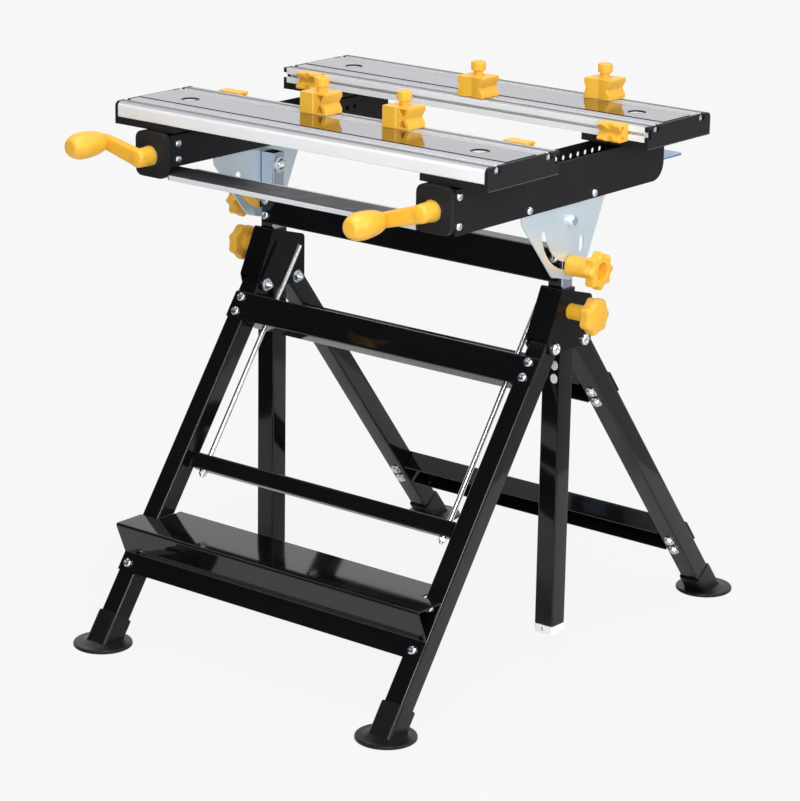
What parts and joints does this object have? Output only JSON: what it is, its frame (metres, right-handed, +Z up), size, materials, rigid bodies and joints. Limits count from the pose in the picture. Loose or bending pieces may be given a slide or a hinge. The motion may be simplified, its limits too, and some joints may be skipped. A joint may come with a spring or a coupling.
{
  "type": "folding workbench",
  "caption": "Folding workbench: splayed square-tube legs with a step plate carry a height-adjustable, tilting top with crank-driven aluminium clamping jaws and sliding dogs.",
  "frame": {"origin": "on the floor, midway between the four feet", "axes": "+X to the right along the jaws, +Y to the back away from the cranks and step plate, +Z up"},
  "size_m": [0.5305, 0.6812, 0.6529],
  "materials": {
    "frame_paint": "gloss black powder coat",
    "rail_paint": "satin black paint on sheet steel",
    "zinc": "bright zinc plate",
    "lever_zinc": "blue-passivated zinc plate",
    "aluminium": "brushed extrusion",
    "yellow_plastic": "moulded warm yellow, fine grain",
    "black_plastic": "moulded black, fine grain",
    "rubber": "matt black rubber",
    "white_plastic": "natural white plastic"
  },
  "bodies": {
    "stand": {"post_l": "frame_paint", "post_r": "frame_paint", "post_plug_l": "white_plastic", "post_plug_r": "white_plastic", "head_bracket_l": "frame_paint", "head_bracket_r": "frame_paint", "front_pivot_pin_l": "zinc", "front_pivot_pin_r": "zinc", "rear_pivot_pin_l": "zinc", "rear_pivot_pin_r": "zinc"},
    "front_legs": {"front_leg_l": "frame_paint", "front_leg_r": "frame_paint", "front_crossbar": "frame_paint", "step_plate": "frame_paint", "front_foot_l": "rubber", "front_foot_r": "rubber"},
    "rear_legs": {"rear_leg_l": "frame_paint", "rear_leg_r": "frame_paint", "rear_upper_bar": "frame_paint", "rear_lower_bar": "frame_paint", "rear_foot_l": "rubber", "rear_foot_r": "rubber"},
    "release": {"release_bar": "frame_paint", "release_rod_l": "zinc", "release_rod_r": "zinc"},
    "column": {"inner_post_l": "zinc", "inner_post_r": "zinc", "column_bar": "frame_paint"},
    "top": {"rail_l": "rail_paint", "rail_r": "rail_paint", "tilt_plate_l": "zinc", "tilt_plate_r": "zinc", "crank_housing_l": "black_plastic", "crank_housing_r": "black_plastic", "tie_bar": "zinc"},
    "front_jaw": {"front_jaw": "aluminium", "front_cap_l": "black_plastic", "front_cap_r": "black_plastic"},
    "rear_jaw": {"rear_jaw": "aluminium", "rear_cap_l": "black_plastic", "rear_cap_r": "black_plastic"},
    "height_knob_l": {"height_knob_l": "yellow_plastic"},
    "tilt_knob_l": {"tilt_knob_l": "yellow_plastic"},
    "crank_l": {"crank_l": "yellow_plastic", "spindle_l": "zinc"},
    "latch_lever_l": {"latch_lever_l": "lever_zinc"},
    "height_knob_r": {"height_knob_r": "yellow_plastic"},
    "tilt_knob_r": {"tilt_knob_r": "yellow_plastic"},
    "crank_r": {"crank_r": "yellow_plastic", "spindle_r": "zinc"},
    "latch_lever_r": {"latch_lever_r": "lever_zinc"},
    "front_dog_a": {"front_dog_a": "yellow_plastic"},
    "front_dog_b": {"front_dog_b": "yellow_plastic"},
    "rear_dog_a": {"rear_dog_a": "yellow_plastic"},
    "rear_dog_b": {"rear_dog_b": "yellow_plastic"},
    "front_side_dog_l": {"front_side_dog_l": "yellow_plastic"},
    "front_side_dog_r": {"front_side_dog_r": "yellow_plastic"},
    "rear_side_dog_l": {"rear_side_dog_l": "yellow_plastic"},
    "rear_side_dog_r": {"rear_side_dog_r": "yellow_plastic"}
  },
  "joints": [
    {"name": "front_leg_fold", "type": "hinge", "parent": "stand", "child": "front_legs", "pos_m": [0, -0.0415, 0.3775], "axis": [1, 0, 0], "range_deg": [0, 33]},
    {"name": "rear_leg_fold", "type": "hinge", "parent": "stand", "child": "rear_legs", "pos_m": [0, 0.0135, 0.3775], "axis": [-1, 0, 0], "range_deg": [0, 36]},
    {"name": "release_pull", "type": "slide", "parent": "front_legs", "child": "release", "axis": [0, 0.5747, 0.8184], "range_m": [0, 0.006]},
    {"name": "height_slide", "type": "slide", "parent": "stand", "child": "column", "axis": [0, 0, 1], "range_m": [-0.003, 0.175]},
    {"name": "top_tilt", "type": "hinge", "parent": "column", "child": "top", "pos_m": [0, -0.014, 0.5165], "axis": [1, 0, 0], "range_deg": [0, 50]},
    {"name": "crank_right_turn", "type": "hinge", "parent": "top", "child": "crank_r", "pos_m": [0.1998, -0.2315, 0.5605], "axis": [0, 1, 0], "range_deg": [0, 5760]},
    {"name": "crank_left_turn", "type": "hinge", "parent": "top", "child": "crank_l", "pos_m": [-0.1998, -0.2315, 0.5605], "axis": [0, 1, 0], "range_deg": [0, 5760]},
    {"name": "front_jaw_slide", "type": "slide", "parent": "top", "child": "front_jaw", "axis": [0, 1, 0], "range_m": [0, 0.0645]},
    {"name": "rear_jaw_slide", "type": "slide", "parent": "top", "child": "rear_jaw", "axis": [0, 1, 0], "range_m": [-0.0464, 0]},
    {"name": "height_knob_turn_l", "type": "hinge", "parent": "stand", "child": "height_knob_l", "pos_m": [-0.264, -0.014, 0.415], "axis": [-1, 0, 0], "continuous": true},
    {"name": "tilt_knob_turn_l", "type": "hinge", "parent": "column", "child": "tilt_knob_l", "pos_m": [-0.265, -0.014, 0.4665], "axis": [-1, 0, 0], "continuous": true},
    {"name": "latch_press_l", "type": "hinge", "parent": "rear_jaw", "child": "latch_lever_l", "pos_m": [-0.1998, 0.1558, 0.556], "axis": [1, 0, 0], "range_deg": [0, 10], "stiffness_Nm_per_rad": 0.3, "springref_deg": -14.32},
    {"name": "height_knob_turn_r", "type": "hinge", "parent": "stand", "child": "height_knob_r", "pos_m": [0.264, -0.014, 0.415], "axis": [1, 0, 0], "continuous": true},
    {"name": "tilt_knob_turn_r", "type": "hinge", "parent": "column", "child": "tilt_knob_r", "pos_m": [0.265, -0.014, 0.4665], "axis": [1, 0, 0], "continuous": true},
    {"name": "latch_press_r", "type": "hinge", "parent": "rear_jaw", "child": "latch_lever_r", "pos_m": [0.1998, 0.1558, 0.556], "axis": [1, 0, 0], "range_deg": [0, 10], "stiffness_Nm_per_rad": 0.3, "springref_deg": -14.32},
    {"name": "front_dog_a_slide", "type": "slide", "parent": "front_jaw", "child": "front_dog_a", "axis": [1, 0, 0], "range_m": [-0.15, 0.03]},
    {"name": "front_dog_b_slide", "type": "slide", "parent": "front_jaw", "child": "front_dog_b", "axis": [1, 0, 0], "range_m": [-0.03, 0.13]},
    {"name": "rear_dog_a_slide", "type": "slide", "parent": "rear_jaw", "child": "rear_dog_a", "axis": [1, 0, 0], "range_m": [-0.15, 0.15]},
    {"name": "rear_dog_b_slide", "type": "slide", "parent": "rear_jaw", "child": "rear_dog_b", "axis": [1, 0, 0], "range_m": [-0.3, 0.08]},
    {"name": "front_side_dog_l_slide", "type": "slide", "parent": "front_jaw", "child": "front_side_dog_l", "axis": [1, 0, 0], "range_m": [-0.015, 0.15]},
    {"name": "front_side_dog_r_slide", "type": "slide", "parent": "front_jaw", "child": "front_side_dog_r", "axis": [1, 0, 0], "range_m": [-0.15, 0.015]},
    {"name": "rear_side_dog_l_slide", "type": "slide", "parent": "rear_jaw", "child": "rear_side_dog_l", "axis": [1, 0, 0], "range_m": [-0.015, 0.15]},
    {"name": "rear_side_dog_r_slide", "type": "slide", "parent": "rear_jaw", "child": "rear_side_dog_r", "axis": [1, 0, 0], "range_m": [-0.15, 0.006]}
  ],
  "couplings": [
    {"joint": "crank_left_turn", "follows": "crank_right_turn", "ratio": 1},
    {"joint": "front_jaw_slide", "follows": "crank_right_turn", "m_per_rad": 0.00063662}
  ]
}
